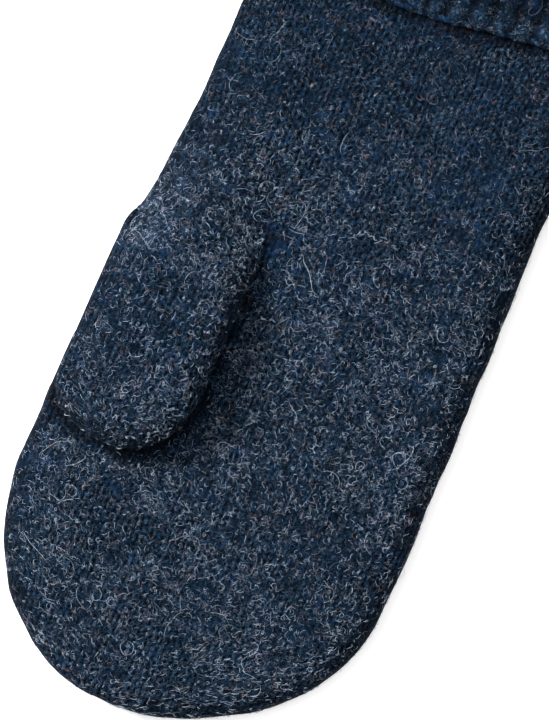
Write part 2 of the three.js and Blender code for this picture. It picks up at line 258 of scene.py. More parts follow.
class Surface:
    """A soft surface that swells from low, at its outline, up or down to high, a rounding inside it.

    low and high give heights from x and station, and joined says where the surface has run into its
    neighbour and no longer drops to low at its edge.
    """

    def __init__(self, edge, start, end, tip, rounding, low, high, side, joined=np.zeros_like):
        bend = start + tip * (1 - np.cos(np.linspace(0, np.pi / 2, TIP_PLACES)))
        stations = np.concatenate([bend, np.linspace(start + tip, end + rounding, SIDE_PLACES)[1:]])
        left = np.stack([edge(0, stations), stations], 1)
        right = np.stack([edge(1, stations), stations], 1)
        self.outline = np.concatenate([left[::-1], right])
        self.edge, self.start, self.rounding = edge, start, rounding
        self.low, self.high, self.side, self.joined = low, high, side, joined

    def nearest(self, x, station):
        """How far inside the outline each point is, up to the rounding, and which way its edge faces."""
        distance = np.full(x.shape, float(self.rounding))
        facing = np.zeros(x.shape + (2,))
        rows = station[:, 0]
        for (ax, ay), (bx, by) in zip(self.outline[:-1], self.outline[1:]):
            dx, dy = bx - ax, by - ay
            band = np.searchsorted(rows, (min(ay, by) - self.rounding, max(ay, by) + self.rounding))
            band = slice(*band)
            share = ((x[band] - ax) * dx + (station[band] - ay) * dy) / (dx * dx + dy * dy)
            share = np.clip(share, 0, 1)
            gap = np.hypot(x[band] - ax - share * dx, station[band] - ay - share * dy)
            nearer = gap < distance[band]
            distance[band][nearer] = gap[nearer]
            facing[band][nearer] = np.array([dy, -dx]) / np.hypot(dx, dy)
        return distance, facing

    def crown(self, distance):
        """How full the surface is at a distance from its edge: a quarter ellipse, then level."""
        return np.sqrt(1 - (1 - distance / self.rounding) ** 2)

    def height(self, x, station):
        full = mix(self.crown(self.nearest(x, station)[0]), 1, self.joined(station))
        return mix(self.low(x, station), self.high(x, station), full)

    def normal(self, x, station):
        distance, facing = self.nearest(x, station)
        crown = self.crown(distance)
        joined = self.joined(station)
        full = mix(crown, 1, joined)
        slope = []
        for dx, dy in ((SLOPE_STEP, 0), (0, SLOPE_STEP)):
            ahead = mix(self.low(x + dx, station + dy), self.high(x + dx, station + dy), full)
            behind = mix(self.low(x - dx, station - dy), self.high(x - dx, station - dy), full)
            slope.append((ahead - behind) / (2 * SLOPE_STEP))
        rise = (self.high(x, station) - self.low(x, station)) * (1 - joined)
        lean = (rise * (1 - distance / self.rounding) / self.rounding)[..., None] * facing
        normal = np.stack([lean[..., 0] - slope[0] * crown, lean[..., 1] - slope[1] * crown, crown], 2)
        return unit(normal * self.side)


# ---- shape of the hand


def tip_share(share, fullness):
    return (1 - np.abs(1 - share) ** fullness) ** (1 / fullness)


def hand_edge(side, station):
    wrist = mix(PALM_SIDE[side], WRIST_SIDE[side], smooth(WRIST_TAPER, station))
    straight = mix(wrist, CUFF_SIDE[side], smooth(CUFF_TAPER, station))
    share = np.clip((station + TIP_BLUNT) / (TIP_LENGTH + TIP_BLUNT), 0, 1)
    curved = TIP_X + (PALM_SIDE[side] - TIP_X) * tip_share(share, TIP_FULLNESS)
    return np.where(station < TIP_LENGTH, curved, straight)


def hand_middle(x, station):
    return mix(HAND_HALF, CUFF_MIDDLE, smooth(REST_RISE, station))


def gusset(x, station):
    """The palm's rise towards the thumb, steepest where the thumb leaves it."""
    middle = sum(THUMB_BASE_SIDE) / 2
    share = np.clip((x - middle) / (THUMB_BASE_SIDE[1] - middle), -1, 1)
    along = np.clip((GUSSET_START - station) / (GUSSET_START - SLOT[1]), 0, 1) ** 2
    return GUSSET_RISE * along * (1 - share**2) ** 2 * smooth(SLOT, station)


def hand_high(side):
    def high(x, station):
        level = hand_middle(x, station) + side * mix(HAND_HALF, CUFF_HALF, smooth(REST_RISE, station))
        return level + (gusset(x, station) if side > 0 else 0)

    return high


PALM = Surface(hand_edge, 0, HAND_END, TIP_LENGTH, EDGE_ROUND, hand_middle, hand_high(1), 1)
BACK = Surface(hand_edge, 0, HAND_END, TIP_LENGTH, EDGE_ROUND, hand_middle, hand_high(-1), -1)

# ---- shape of the thumb


def thumb_edge(side, station):
    past = station - THUMB_TIP_STATION
    straight = mix(THUMB_SIDE[side], THUMB_BASE_SIDE[side], smooth(THUMB_BASE_TAPER, station))
    length = THUMB_TIP_LENGTHS[side]
    share = np.clip((past + TIP_BLUNT) / (length + TIP_BLUNT), 0, 1)
    curved = THUMB_TIP_X + (THUMB_SIDE[side] - THUMB_TIP_X) * tip_share(share, THUMB_FULLNESS)
    return np.where(past < length, curved, straight)


def tilt(x):
    return THUMB_TILT * (x - THUMB_TIP_X)


def thumb_rim(x, station):
    """Height of the thumb's side edges: halfway up the thumb, then down onto the palm at its base."""
    lying = THUMB_LIE + THUMB_HALF + tilt(x)
    free = mix(lying, THUMB_LIE + WALL, smooth(THUMB_PARTING_SLOPE, station))
    return mix(free, PALM.height(x, station), smooth(THUMB_LANDING, station))


def thumb_ridge(x, station):
    """Height of the thumb's top, which leaves the palm at the palm's own slope."""
    base = PALM.height(x, np.full_like(x, SLOT[1]))
    out = np.clip((SLOT[1] - station) / (SLOT[1] - THUMB_SLOPE_END), 0, 1)
    ridge = THUMB_LIE + 2 * THUMB_HALF + tilt(x)
    first = 2 * GUSSET_RISE / (GUSSET_START - SLOT[1]) * (SLOT[1] - THUMB_SLOPE_END) / (ridge - base)
    rise = (first - 2) * out**3 + (3 - 2 * first) * out**2 + first * out
    past = PALM.height(x, np.maximum(station, SLOT[1])) - base
    sink = THUMB_SINK * smooth((SLOT[1], SLOT[1] + THUMB_OVERLAP), station)
    return base + (ridge - base) * rise + past - sink


def thumb_sole(x, station):
    free = THUMB_LIE + np.maximum(0, tilt(x))
    return mix(free, PALM.height(x, station), smooth(THUMB_LANDING, station))


THUMB_PLAN = (thumb_edge, THUMB_TIP_STATION, SLOT[1] + THUMB_OVERLAP, THUMB_TIP_LENGTHS[1], THUMB_ROUND)
THUMB_TOP = Surface(*THUMB_PLAN, thumb_rim, thumb_ridge, 1, lambda station: smooth(THUMB_JOINING, station))
THUMB_UNDER = Surface(*THUMB_PLAN, thumb_rim, thumb_sole, -1)

# ---- skins


class Skin:
    """A grid of points over a piece's outer face, with the distances across and along the fabric at each.

    hold says how well each point holds loose fibres: stitches hold more than the gaps between them.
    """

    def __init__(self, points, normals, across, along, edge, side):
        self.points, self.normals, self.side = points, normals, side
        self.x, self.y, self.station = points[..., 0], points[..., 1], points[..., 1] - TIP_Y
        self.across, self.along, self.edge = across, along, edge
        self.hold = np.ones(edge.shape)
        self.wide = np.linalg.norm(np.gradient(points, axis=1), axis=2)
        self.tall = np.linalg.norm(np.gradient(points, axis=0), axis=2)

    def moved(self, height):
        """The same skin with its points moved out along their normals."""
        points = self.points + self.normals * height[..., None]
        points[..., 2] = np.maximum(points[..., 2], 0)
        return Skin(points, self.normals, self.across, self.along, self.edge, self.side)


def skin_of(surface, end, centre, spacing=STEP):
    """A skin in rows across the piece, each spaced evenly over the fabric from one edge to the other."""
    fine = 1 - np.cos(np.linspace(0, np.pi / 2, FINE_PLACES))[:, None]
    fine = surface.start + (end - surface.start) * fine
    meridian = surface.height(np.full_like(fine, centre), fine)
    stations, along = even_steps(fine[:, 0], meridian[:, 0], spacing)
    left, right = surface.edge(0, stations)[:, None], surface.edge(1, stations)[:, None]
    widest = (right - left).max()
    columns = COARSE * round(widest / spacing / COARSE + 2 * surface.rounding / 3 / spacing / COARSE)
    turn = (1 - np.cos(np.linspace(0, np.pi, 3 * columns // 2))) / 2
    x = left + (right - left) * turn
    z = surface.height(x, np.repeat(stations[:, None], x.shape[1], 1))
    run = np.cumsum(np.hypot(np.diff(x, prepend=x[:, :1]), np.diff(z, prepend=z[:, :1])), axis=1)
    points = np.empty((len(stations), columns + 1, 3))
    across = np.empty((len(stations), columns + 1))
    for row in range(len(stations)):
        places = np.linspace(0, run[row, -1], columns + 1)
        points[row, :, 0] = np.interp(places, run[row], x[row])
        points[row, :, 2] = np.interp(places, run[row], z[row])
        across[row] = places - np.interp(centre, x[row], run[row]) + centre
    station = np.repeat(stations[:, None], columns + 1, 1)
    points[..., 1] = station + TIP_Y
    normals = surface.normal(points[..., 0], station)
    edge = surface.nearest(points[..., 0], station)[0]
    edge = np.where(surface.joined(station) > 0, surface.rounding, edge)
    return Skin(points, normals, across, np.repeat(along[:, None], columns + 1, 1), edge, surface.side)


# ---- stitches


def table_value(seed, row, column):
    table = np.random.RandomState(seed).uniform(0, 1, (256, 256))
    return table[row % 256, column % 256]


def edge_fade(skin):
    """0 at a piece's side edges, so that two pieces meet there, and 1 a little way in."""
    return smooth((0, 1.4), skin.edge)


def swell(skin, amount=0.4):
    """Gentle unevenness of a soft piece that has been worn and pressed."""
    x, y = skin.x, skin.y
    edge_wave = layers(x, y, SWELL_SEED, EDGE_WAVE)
    middle = amount * layers(x, y, SWELL_SEED, SWELL)
    return mix(edge_wave, middle + edge_wave, edge_fade(skin))


def melange(skin, seed):
    """Colour of the yarn, from 0 to 1: streaks along the rows, as each row is one length of yarn."""
    across, along = skin.across, skin.along
    streak = noise(across, along * 3.4, 7, seed) + 0.7 * noise(across, along * 2, 3.2, seed + 1)
    patch = noise(across, along, 11, seed + 2) + 0.6 * noise(across, along, 5, seed + 3)
    return np.clip(0.5 + 0.25 * streak + 0.16 * patch, 0, 1)


def yarn_colour(skin, seed, strand):
    """Colour of each stitch's yarn, from 0 to 1: most of it the melange, the rest the stitch's own."""
    return 0.65 * melange(skin, seed + YARN_SEED) + 0.35 * strand


def stockinette(skin, seed):
    """Height, tone and yarn colour of fulled stockinette: each stitch is a V of two slanting legs."""
    x, y = skin.x, skin.y
    across = layers(x, y, seed, STITCH_SWAY_ACROSS, skin.across)
    along = layers(x, y, seed, STITCH_SWAY_ALONG, skin.along)
    wale = across / WALE
    column = np.floor(wale).astype(int)
    place = wale - column - 0.5
    beside = np.abs(place) * 4 - 1
    course = along / COURSE + LEG_SLANT * np.abs(place) * 2
    row = np.floor(course).astype(int)
    lengthwise = (course - row - 0.5) * 2
    strand = table_value(seed, row, 2 * column + (place > 0))
    hump = np.sqrt(np.clip(1 - LEG_ROUNDING[0] * beside**2 - LEG_ROUNDING[1] * lengthwise**2, 0, 1))
    fulled = np.clip(layers(x, y, seed, STITCH_FULLING, 0.7), 0.15, 1.15)
    grain = layers(x, y, seed, STITCH_GRAIN)
    height = STITCH_RELIEF * fulled * (hump - 0.6) * (0.7 + 0.6 * strand) + grain
    # The tone is painted shade: darker in the gaps between the legs, with random grain in it.
    tone = mix(0.6, hump, fulled) + 1.2 * grain
    # Painted shadow of the turned-up cuff on the knit just before its lip.
    before_cuff = TURN_LOW[1] + askew(x) - y
    beside_cuff = smooth(CUFF_SHADE_BEFORE, before_cuff) * smooth(CUFF_SHADE_BEHIND, before_cuff)
    tone *= mix(1, CUFF_SHADE, beside_cuff)
    # Painted shade where the fabric turns away near a piece's edge.
    tone *= mix(EDGE_SHADE, 1, smooth(EDGE_SHADE_WIDTH, skin.edge))
    return height * edge_fade(skin), tone, yarn_colour(skin, seed, strand)


def rib(skin, pitch, relief, seed):
    """Height, tone and yarn colour of a fulled rib: soft columns of stitches with grooves between."""
    x, y = skin.x, skin.y
    turn = (skin.across + layers(x, y, seed, RIB_SWAY)) / pitch
    place = turn - np.floor(turn) - 0.5
    ridge = 0.5 + 0.5 * np.cos(2 * np.pi * place)
    ridge = ridge ** (0.55 + 0.2 * noise(x, y, 7, seed + 3))
    course = skin.along / COURSE + RIB_SLANT * np.abs(place) * 2 + 0.3 * noise(x, y, 5, seed + 2)
    row = np.floor(course).astype(int)
    lengthwise = (course - row - 0.5) * 2
    strand = table_value(seed, row, (2 * np.floor(turn) + (place > 0)).astype(int))
    hump = np.sqrt(np.clip(1 - RIB_ROUNDING * lengthwise**2, 0, 1)) * np.where(np.abs(place) < 0.04, 0.8, 1)
    grain = layers(x, y, seed, RIB_GRAIN)
    fulled = np.clip(layers(x, y, seed, RIB_FULLING, 0.75), 0.25, 1.1)
    height = relief * fulled * (ridge - 0.6) + 0.3 * ridge * (hump - 0.7) + grain
    # The tone is painted shade: darker in the grooves and between courses, and darker a few millimetres up
    # from the start of the profile, so that the turned-up edge stands out as a painted highlight.
    tone = mix(0.5, 1, ridge) * (0.5 + 0.5 * hump) * mix(1, LIP_SHADE, smooth(LIP_WIDTH, skin.along))
    return height, tone, yarn_colour(skin, seed, strand)


# ---- meshes


def mesh_object(name, vertices, face_groups, material):
    """An object from points in millimetres and arrays of faces, each array with its own number of corners."""
    mesh = bpy.data.meshes.new(name)
    mesh.vertices.add(len(vertices))
    mesh.vertices.foreach_set("co", (np.asarray(vertices) * MM).astype(np.float32).ravel())
    corners = np.concatenate([faces.ravel() for faces in face_groups]).astype(np.int32)
    sizes = np.concatenate([np.full(len(faces), faces.shape[1]) for faces in face_groups])
    mesh.loops.add(len(corners))
    mesh.loops.foreach_set("vertex_index", corners)
    mesh.polygons.add(len(sizes))
    mesh.polygons.foreach_set("loop_start", (np.cumsum(sizes) - sizes).astype(np.int32))
    mesh.polygons.foreach_set("use_smooth", np.ones(len(sizes), bool))
    mesh.update(calc_edges=True)
    mesh.materials.append(material)
    obj = bpy.data.objects.new(name, mesh)
    bpy.context.scene.collection.objects.link(obj)
    return obj


def put_attribute(obj, name, values, rest=0.5):
    attribute = obj.data.attributes.new(name, "FLOAT", "POINT")
    full = np.full(len(obj.data.vertices), rest, np.float32)
    full[: values.size] = values.ravel()
    attribute.data.foreach_set("value", full)


def shell(name, outer, inner, material, keep, flip):
    """A closed shell: a fine outer grid, an inner grid with one point for every COARSE, and rims between."""
    wide, inner_wide = outer.shape[1], inner.shape[1]
    fine = np.kron(keep, np.ones((COARSE, COARSE), bool))
    row, column = np.nonzero(fine)
    corner = row * wide + column
    faces = [np.stack([corner, corner + 1, corner + 1 + wide, corner + wide], 1)]
    base = outer.shape[0] * wide
    row, column = np.nonzero(keep)
    corner = base + row * inner_wide + column
    faces.append(np.stack([corner, corner + inner_wide, corner + inner_wide + 1, corner + 1], 1))
    padded = np.pad(keep, 1)
    steps = np.arange(COARSE + 1)
    rims = []
    for row, column in zip(*np.nonzero(keep)):
        corner = row * COARSE * wide + column * COARSE
        near = base + row * inner_wide + column
        far = near + inner_wide
        if not padded[row, column + 1]:
            rims.append([*(corner + steps)[::-1], near, near + 1])
        if not padded[row + 2, column + 1]:
            rims.append([*(corner + COARSE * wide + steps), far + 1, far])
        if not padded[row + 1, column]:
            rims.append([*(corner + steps * wide), far, near])
        if not padded[row + 1, column + 2]:
            rims.append([*(corner + COARSE + steps * wide)[::-1], near + 1, far + 1])
    points = np.concatenate([outer.reshape(-1, 3), inner.reshape(-1, 3)])
    faces = np.concatenate(faces)
    rims = np.array(rims)
    if flip:
        faces, rims = faces[:, ::-1], rims[:, ::-1]
    used = np.zeros(len(points), bool)
    used[faces] = True
    number = np.cumsum(used) - 1
    obj = mesh_object(name, points[used], [number[faces], number[rims]], material)
    return obj, used[:base]


def knit_shell(name, skin, height, tone, strand, material, wall=WALL, keep=None):
    """A piece of knitted fabric: the skin raised by its stitches outside, and smooth inside."""
    outer = skin.moved(height)
    outer.hold = mix(*HOLD_BY_TONE, np.clip(tone, 0, 1) ** HOLD_CONTRAST) * mix(*HOLD_BY_STRAND, strand)
    inner = (skin.points - skin.normals * wall)[::COARSE, ::COARSE]
    if keep is None:
        keep = np.ones((inner.shape[0] - 1, inner.shape[1] - 1), bool)
    obj, used = shell(name, outer.points, inner, material, keep, flip=skin.side < 0)
    put_attribute(obj, "tone", tone.ravel()[used])
    put_attribute(obj, "strand", strand.ravel()[used])
    return obj, outer


# ---- loose fibres

# How many for each square millimetre, lengths, lifts and radius in millimetres, curl in radians a
# millimetre, and the straight steps that each fibre has. FIBRES_EACH is the most in one object.
FIBRES = {
    "down": dict(many=1.05, length=(0.6, 1.7), curl=1.4, lift=(0.05, 0.35), steps=3, radius=0.034),
    "curl": dict(many=1.0, length=(0.7, 2.6), curl=1.6, lift=(0.1, 0.6), steps=6, radius=0.027),
    "stray": dict(many=0.014, length=(4.0, 11.0), curl=0.4, lift=(0.3, 1.4), steps=11, radius=0.033),
}
FIBRES_EACH = {"down": 9000, "curl": 4400, "stray": 2000}
FIBRES_PAST = 4  # points of the grid by which fibres may run past the edge of a piece

# Where the fibres are fewer: the share of them there, and the distances over which that comes on. Beside the
# thumb and before the cuff's lip the pale fibres are thinned as painted shade. Towards the wrist they are
# also darker.
WRIST_HAIR, WRIST_HAIR_CHANGE = (1.15, 0.65), (110, 195)
WRIST_TONE, WRIST_TONE_CHANGE = 0.65, (130, 190)
EDGE_HAIR, EDGE_HAIR_WIDTH = 0.5, (0, 8)
CUFF_HAIR, CUFF_HAIR_WIDTH = 0.7, (8, 4)
THUMB_HAIR, THUMB_HAIR_WIDTH = 0.35, (0, 4)
BEND_HAIR, BEND_HAIR_CHANGE = 0.1, (105, 113)
LOST_UNDER_THUMB = 0.55
THINNED_FOR_VALLEY_SHADE = 0.9


def sample(grid, row, column):
    """Values of a grid at fractional places, carried on straight past its edges."""
    r = np.clip(np.floor(row).astype(int), 0, grid.shape[0] - 2)
    c = np.clip(np.floor(column).astype(int), 0, grid.shape[1] - 2)
    fr, fc = (row - r)[..., None], (column - c)[..., None]
    low = mix(grid[r, c], grid[r, c + 1], fc)
    high = mix(grid[r + 1, c], grid[r + 1, c + 1], fc)
    return mix(low, high, fr)


def fibre_paths(skin, count, kind, rng, density, past):
    """Centre lines of fibres that lie on a skin and curl over it, with the skin's normals under them."""
    weight = (skin.wide * skin.tall * density).ravel()
    chosen = rng.choice(weight.size, count, p=weight / weight.sum())
    row, column = np.unravel_index(chosen, skin.wide.shape)
    row = row + rng.uniform(-0.5, 0.5, count)
    column = column + rng.uniform(-0.5, 0.5, count)
    heading = rng.uniform(0, 2 * np.pi, count)
    steps = kind["steps"]
    bend = rng.normal(0, kind["curl"], count)
    wobble = rng.normal(0, kind["curl"] * 0.7, (count, steps))
    span = rng.uniform(*kind["length"], count) / steps
    rows, columns = [row], [column]
    for step in range(steps):
        r = np.clip(rows[-1], 0, skin.wide.shape[0] - 1).astype(int)
        c = np.clip(columns[-1], 0, skin.wide.shape[1] - 1).astype(int)
        rows.append(rows[-1] + span * np.sin(heading) / np.maximum(skin.tall[r, c], 0.1))
        columns.append(columns[-1] + span * np.cos(heading) / np.maximum(skin.wide[r, c], 0.1))
        heading = heading + (bend + wobble[:, step]) * span
    rows, columns = np.stack(rows, 1), np.stack(columns, 1)
    inside = (rows > -past) & (rows < skin.wide.shape[0] - 1)
    inside &= (columns > -past) & (columns < skin.wide.shape[1] - 1 + past)
    whole = inside.all(1)
    rows, columns = rows[whole], columns[whole]
    places = sample(skin.points, rows, columns)
    normals = unit(sample(skin.normals, rows, columns))
    share = np.linspace(0, 1, steps + 1)
    high = rng.uniform(*kind["lift"], len(rows))[:, None]
    loop = high * np.sin(np.pi * share * rng.uniform(0.5, 1.0, len(rows))[:, None])
    places += normals * (loop + 0.03)[..., None]
    places[..., 2] = np.maximum(places[..., 2], 0)
    return places, normals


def fibre_object(name, centres, normals, material, radius, rng):
    """Fibres as one mesh of fine three-sided tubes with closed ends."""
    count, steps = centres.shape[0], centres.shape[1] - 1
    along = unit(np.gradient(centres, axis=1))
    beside = unit(np.cross(along, normals))
    over = np.cross(beside, along)
    share = np.linspace(0, 1, steps + 1)
    taper = 1 - 0.5 * np.abs(2 * share - 1) ** 3
    thick = (radius * rng.uniform(0.7, 1.25, count))[:, None] * taper
    corners = []
    for turn in range(3):
        angle = np.pi / 2 + turn * 2 * np.pi / 3
        corners.append(centres + thick[..., None] * (np.cos(angle) * beside + np.sin(angle) * over))
    vertices = np.stack(corners, 2).reshape(-1, 3)
    first = (np.arange(count) * (steps + 1) * 3)[:, None, None]
    start = first + (np.arange(steps) * 3)[None, :, None]
    side = np.arange(3)[None, None, :]
    following = (side + 1) % 3
    quads = np.stack([start + side, start + following, start + 3 + following, start + 3 + side], -1)
    near = first[:, 0, 0]
    far = near + steps * 3
    caps = np.concatenate([np.stack([near + 2, near + 1, near], 1), np.stack([far, far + 1, far + 2], 1)])
    obj = mesh_object(name, vertices, [quads.reshape(-1, 4), caps], material)
    station = centres[:, 0, 1] - TIP_Y
    tone = rng.uniform(0, 1, count) * mix(1, WRIST_TONE, smooth(WRIST_TONE_CHANGE, station))
    put_attribute(obj, "tone", np.repeat(tone, (steps + 1) * 3))
    return obj


# ---- materials


class Nodes:
    """Short calls for building a material's node tree."""

    def __init__(self, name):
        self.material = bpy.data.materials.new(name)
        self.material.use_nodes = True
        self.tree = self.material.node_tree
        self.shader = self.tree.nodes["Principled BSDF"]

    def node(self, kind, inputs=(), **settings):
        made = self.tree.nodes.new(kind)
        for key, value in settings.items():
            setattr(made, key, value)
        for key, value in dict(inputs).items():
            self.put(made.inputs[key], value)
        return made

    def put(self, socket, value):
        if isinstance(value, bpy.types.NodeSocket):
            self.tree.links.new(value, socket)
        else:
            socket.default_value = value

    def place(self):
        """The piece's own coordinates, in millimetres."""
        coordinates = self.node("ShaderNodeTexCoord").outputs["Object"]
        return self.node("ShaderNodeVectorMath", {0: coordinates, 3: 1 / MM}, operation="SCALE").outputs[0]

    def noise(self, vector, scale, detail=2.0, roughness=0.5, distortion=0.0, shift=0.0):
        moved = self.node("ShaderNodeVectorMath", {0: vector, 1: (shift, shift * 1.7, shift * 0.6)})
        settings = {"Vector": moved.outputs[0], "Scale": scale, "Detail": detail}
        settings.update({"Roughness": roughness, "Distortion": distortion})
        return self.node("ShaderNodeTexNoise", settings).outputs["Fac"]

    def math(self, operation, *values):
        return self.node("ShaderNodeMath", dict(enumerate(values)), operation=operation).outputs[0]

    def spread(self, value, low, high, to_low=0.0, to_high=1.0):
        settings = {"Value": value, "From Min": low, "From Max": high, "To Min": to_low, "To Max": to_high}
        made = self.node("ShaderNodeMapRange", settings, interpolation_type="SMOOTHSTEP")
        return made.outputs["Result"]

    def blend(self, share, a, b, how="MIX"):
        made = self.node("ShaderNodeMix", data_type="RGBA", blend_type=how)
        self.put(made.inputs["Factor"], share)
        self.put(made.inputs["A"], a)
        self.put(made.inputs["B"], b)
        return made.outputs["Result"]

    def attribute(self, name):
        return self.node("ShaderNodeAttribute", attribute_name=name).outputs["Fac"]

    def multiplied(self, colour, tone):
        """A colour times a tone."""
        grey = self.node("ShaderNodeCombineColor", {"Red": tone, "Green": tone, "Blue": tone})
        return self.blend(1.0, colour, grey.outputs[0], "MULTIPLY")

    def surface(self, colour, roughness, even):
        """Gives the shader its colour and roughness, and what is the same all over."""
        self.put(self.shader.inputs["Base Color"], colour)
        self.put(self.shader.inputs["Roughness"], roughness)
        for name, value in even.items():
            self.shader.inputs[name].default_value = value

    def bump(self, height, strength, distance):
        """Gives the shader a relief as high as distance, in millimetres."""
        settings = {"Height": height, "Strength": strength, "Distance": distance * MM}
        self.put(self.shader.inputs["Normal"], self.node("ShaderNodeBump", settings).outputs[0])

    def threads(self, vector, scale, thin, shift, distortion=0.8):
        """Thin curly lines, as of fine hairs, where a noise crosses its middle value."""
        value = self.noise(vector, scale, 1.0, 0.4, distortion, shift)
        away = self.math("ABSOLUTE", self.math("SUBTRACT", value, 0.5))
        return self.spread(away, thin, 0.0)


NAVY_DEEP = (0.0001, 0.0009, 0.0022, 1)
NAVY = (0.0004, 0.0054, 0.016, 1)
BLUE = (0.0018, 0.0145, 0.046, 1)
STEEL = (0.009, 0.036, 0.078, 1)
ASH = (0.03, 0.064, 0.106, 1)
PALE = (0.7, 0.82, 0.98, 1)
ROSE = (0.34, 0.24, 0.24, 1)
TAPE_SHADED = (0.5, 0.48, 0.44, 1)
TAPE = (0.78, 0.76, 0.7, 1)
PAPER_SHADED = (0.86, 0.86, 0.86, 1)
PAPER = (0.9, 0.9, 0.9, 1)

# What is the same all over a material.
WOOL_SHEEN = {
    "Specular IOR Level": 0.05,
    "Sheen Weight": 0.01,
    "Sheen Roughness": 0.45,
    "Sheen Tint": (0.55, 0.68, 0.9, 1),
}
PAPER_GLOW = {"Specular IOR Level": 0.1, "Emission Color": (1, 1, 1, 1), "Emission Strength": 0.4}


def wool(name):
    """Fulled melange wool: navy and brighter blue yarn under a felt of grey and pale hairs, times the painted
    shade of the tone attribute.
    """
    n = Nodes(name)
    place = n.place()
    patch = n.noise(place, 0.11, 3.0, 0.6, 0.4, 3.1)
    speck = n.noise(place, 1.6, 3.0, 0.65, 0.5, 5.0)
    colour = n.blend(n.spread(speck, 0.4, 0.66), NAVY_DEEP, NAVY)
    colour = n.blend(n.spread(n.attribute("strand"), 0.45, 1.0, 0.0, 0.8), colour, BLUE)
    fleck = n.spread(n.noise(place, 0.95, 2.0, 0.6, 0.8, 61.0), 0.5, 0.72, 0.0, 0.8)
    # The yarn's ash flecks show only where the tone is high, so they drop out in the painted shade.
    lit_ply = n.math("MULTIPLY", n.spread(n.attribute("tone"), 0.4, 0.95), fleck)
    colour = n.blend(lit_ply, colour, ASH)
    steel = n.math("MULTIPLY", n.threads(place, 0.8, 0.045, 21.0), n.spread(patch, 0.35, 0.65, 0.3, 1.0))
    colour = n.blend(n.math("MULTIPLY", steel, 0.6), colour, STEEL)
    fine = n.math("MULTIPLY", n.threads(place, 1.7, 0.055, 37.0), n.spread(patch, 0.4, 0.65, 0.3, 1.0))
    colour = n.blend(n.math("MULTIPLY", fine, 0.7), colour, STEEL)
    where = n.spread(n.noise(place, 0.35, 2.0, 0.6, 0.2, 51.0), 0.42, 0.62)
    pale = n.math("MULTIPLY", n.threads(place, 0.6, 0.016, 71.0, 1.2), where)
    colour = n.blend(n.math("MULTIPLY", pale, 0.35), colour, PALE)
    rose_where = n.spread(n.noise(place, 0.3, 2.0, 0.5, 0.2, 91.0), 0.58, 0.7, 0.0, 0.3)
    rose = n.math("MULTIPLY", n.threads(place, 0.8, 0.03, 97.0), rose_where)
    colour = n.blend(rose, colour, ROSE)
    # Painted shade and highlight: the colour is multiplied by the tone. It is darker in stitch gaps, grooves,
    # at edges, before the cuff's lip and beside the thumb, and lighter on the stitches' tops.
    tone = n.spread(n.attribute("tone"), 0.1, 0.95, 0.05, 1.3)
    n.surface(n.multiplied(colour, tone), n.spread(speck, 0.3, 0.7, 0.85, 1.0), WOOL_SHEEN)
    relief = n.math("ADD", n.math("MULTIPLY", fine, 0.5), n.math("MULTIPLY", steel, 0.6))
    relief = n.math("ADD", relief, n.math("MULTIPLY", speck, 0.8))
    n.bump(n.math("ADD", relief, pale), 0.9, 0.3)
    return n.material


def fibre_material(name, low, high, odd=None):
    """Single hairs that differ from one another and along their length, a few of them of an odd colour."""
    n = Nodes(name)
    vary = n.spread(n.noise(n.place(), 1.2, 2.0, 0.5, 0.0, 7.0), 0.3, 0.7, -0.15, 0.15)
    tone = n.attribute("tone")
    share = n.math("POWER", n.spread(n.math("ADD", tone, vary), 0.0, 1.0), 3.0)
    colour = n.blend(share, low, high)
    if odd:
        colour = n.blend(n.spread(tone, 0.07, 0.06), colour, odd)
    n.surface(colour, n.spread(tone, 0.0, 1.0, 0.5, 0.7), {"Specular IOR Level": 0.3})
    return n.material


def linking_yarn():
    """Twisted dark yarn with a few flecks of the grey hair."""
    n = Nodes("linking_yarn")
    place = n.place()
    wave = {"Vector": place, "Scale": 1.6, "Distortion": 2.0, "Detail": 2.0}
    twist = n.node("ShaderNodeTexWave", wave, bands_direction="DIAGONAL")
    fleck = n.noise(place, 2.2, 2.0, 0.6, 0.4, 13.0)
    colour = n.blend(n.spread(twist.outputs["Fac"], 0.2, 0.8), NAVY_DEEP, NAVY)
    colour = n.blend(n.spread(fleck, 0.62, 0.75, 0.0, 0.7), colour, STEEL)
    n.surface(colour, n.spread(fleck, 0.3, 0.7, 0.8, 0.95), {})
    n.bump(twist.outputs["Fac"], 0.6, 0.3)
    return n.material


def label_tape():
    """Plain woven tape."""
    n = Nodes("label_tape")
    wave = {"Vector": n.place(), "Scale": 1.4, "Distortion": 0.2}
    warp = n.node("ShaderNodeTexWave", wave, bands_direction="X")
    weft = n.node("ShaderNodeTexWave", wave, bands_direction="Y")
    weave = n.math("MULTIPLY", warp.outputs["Fac"], weft.outputs["Fac"])
    colour = n.blend(n.spread(weave, 0.0, 1.0), TAPE_SHADED, TAPE)
    n.surface(colour, n.spread(weave, 0.0, 1.0, 0.6, 0.45), {})
    n.bump(weave, 0.4, 0.15)
    return n.material


def floor_material():
    """White paper, lit a little from within so that it stays white round the piece."""
    n = Nodes("floor_paper")
    grain = n.noise(n.place(), 0.05, 3.0, 0.5, 0.0, 1.0)
    colour = n.blend(grain, PAPER_SHADED, PAPER)
    n.surface(colour, n.spread(grain, 0.3, 0.7, 0.75, 0.9), PAPER_GLOW)
    return n.material


# ---- pieces


